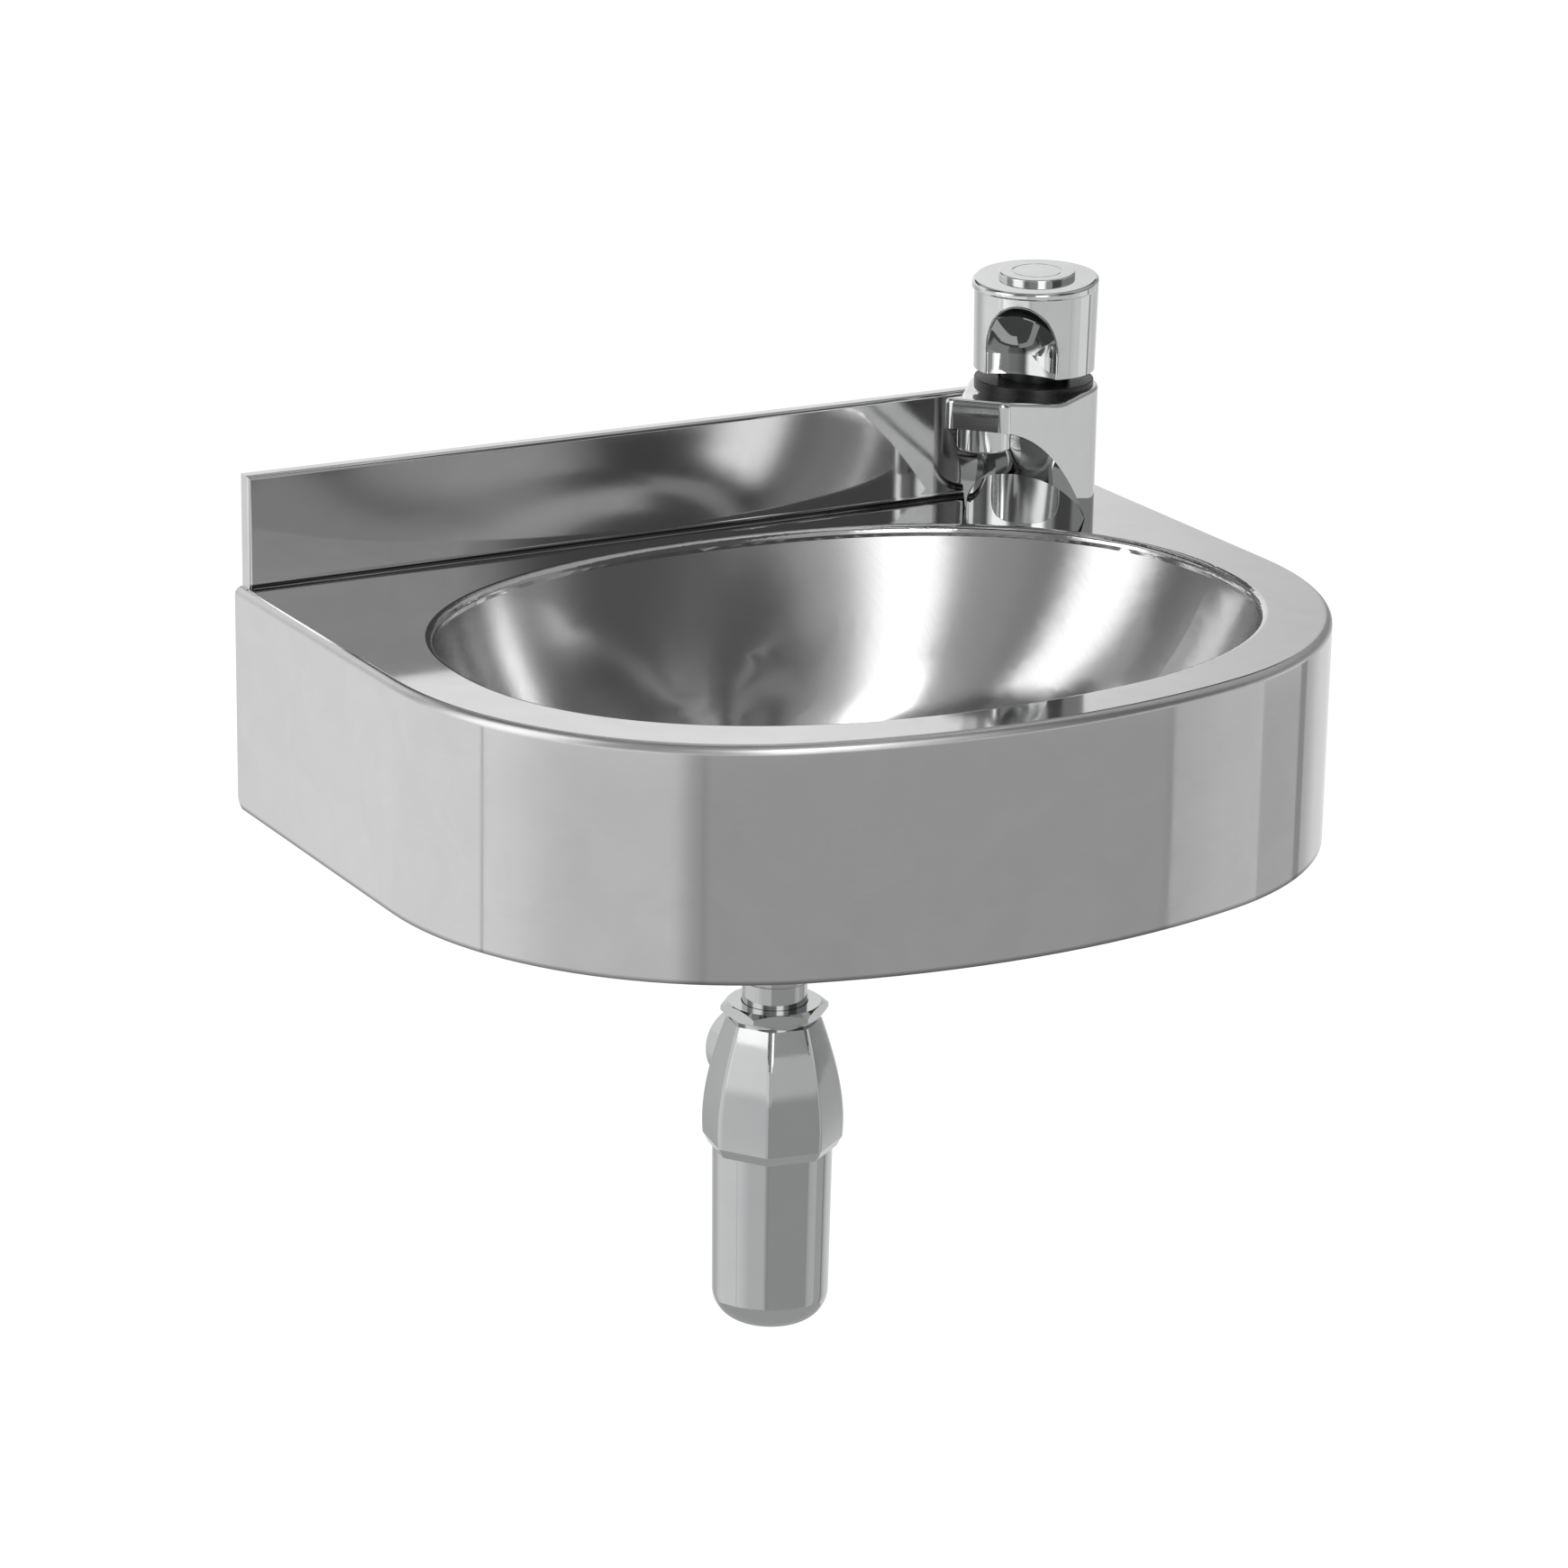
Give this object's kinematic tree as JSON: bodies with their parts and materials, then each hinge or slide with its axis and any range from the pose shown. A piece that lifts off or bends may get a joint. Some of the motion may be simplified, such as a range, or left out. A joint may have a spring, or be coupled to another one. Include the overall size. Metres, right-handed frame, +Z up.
{
  "type": "washbasin",
  "caption": "Wall-hung stainless steel washbasin with rounded apron, oval bowl, rear upstand, self-closing press-and-turn mixing tap and chromed bottle trap.",
  "frame": {"origin": "midway between the two wall fixing holes, on the wall plane", "axes": "+Y into the wall, +Z up, +X to the right as a user faces the basin"},
  "size_m": [0.47, 0.3519, 0.4988],
  "materials": {
    "polished_steel": "polished",
    "satin_steel": "satin",
    "chrome": "bright",
    "black_plastic": "satin",
    "brass": "machined",
    "spring_steel": "bright",
    "rubber": "matt"
  },
  "bodies": {
    "basin": {"basin_pressing": "polished_steel", "upstand": "polished_steel", "bowl": "satin_steel", "rear_rail": "satin_steel", "gusset_left": "satin_steel", "gusset_right": "satin_steel", "tap_body": "chrome", "aerator_housing": "chrome", "waste_grid": "chrome", "waste_screw": "chrome", "tail_nut": "chrome", "tail_pipe": "chrome", "trap_nut": "chrome", "trap_body": "chrome", "trap_cup": "chrome", "outlet_bush": "chrome", "glide_collar": "black_plastic", "aerator_insert": "black_plastic", "cartridge": "brass", "cartridge_nut": "brass", "shank": "brass", "shank_nut": "brass", "inlet_block": "brass", "waste_body": "brass", "return_spring": "spring_steel", "shank_washer": "spring_steel", "spindle_seal": "rubber", "aerator_gasket": "rubber", "base_gasket": "rubber", "shank_rubber": "rubber", "waste_gasket_top": "rubber", "waste_gasket_bottom": "rubber", "tail_seal": "rubber", "trap_seal": "rubber", "cup_seal": "rubber", "outlet_seal": "rubber"},
    "temperature_sleeve": {"mixing_sleeve": "black_plastic"},
    "head": {"push_head": "chrome", "head_disc": "chrome", "head_screw": "spring_steel", "spindle": "spring_steel"}
  },
  "joints": [
    {"name": "head_turn", "type": "hinge", "parent": "basin", "child": "temperature_sleeve", "pos_m": [0.1775, -0.043, 0.13], "axis": [0, 0, 1], "range_deg": [-45, 45]},
    {"name": "head_press", "type": "slide", "parent": "temperature_sleeve", "child": "head", "axis": [0, 0, -1], "range_m": [0, 0.0045], "stiffness_N_per_m": 2000, "springref_m": -0.008, "deforming": ["return_spring"]}
  ]
}
